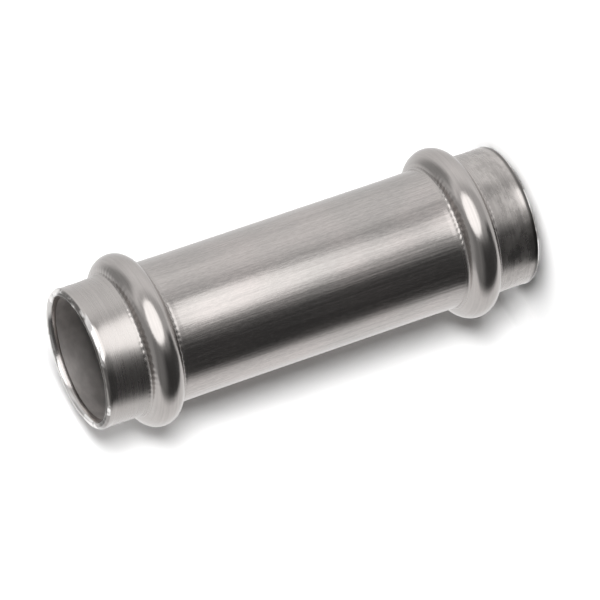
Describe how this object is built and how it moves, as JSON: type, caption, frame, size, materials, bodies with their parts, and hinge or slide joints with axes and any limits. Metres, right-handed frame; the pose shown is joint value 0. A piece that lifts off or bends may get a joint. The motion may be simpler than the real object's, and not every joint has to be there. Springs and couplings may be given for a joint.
{
  "type": "press slip coupling",
  "caption": "Straight stainless press coupling with no inner stop: a plain bore open at both ends, a rolled bead near each end, and a rubber ring inside each bead.",
  "frame": {"origin": "centre of the lower end, on the surface that the coupling stands on", "axes": "+Z along the bore axis, towards the end that is nearer in the picture; the coupling is round, so X and Y are free"},
  "size_m": [0.0312, 0.0312, 0.084],
  "materials": {
    "stainless_steel": "satin, drawn lengthways on the tube",
    "seal_rubber": "matt"
  },
  "bodies": {
    "root": {"coupling_body": "stainless_steel", "upper_seal": "seal_rubber", "lower_seal": "seal_rubber"}
  },
  "joints": []
}
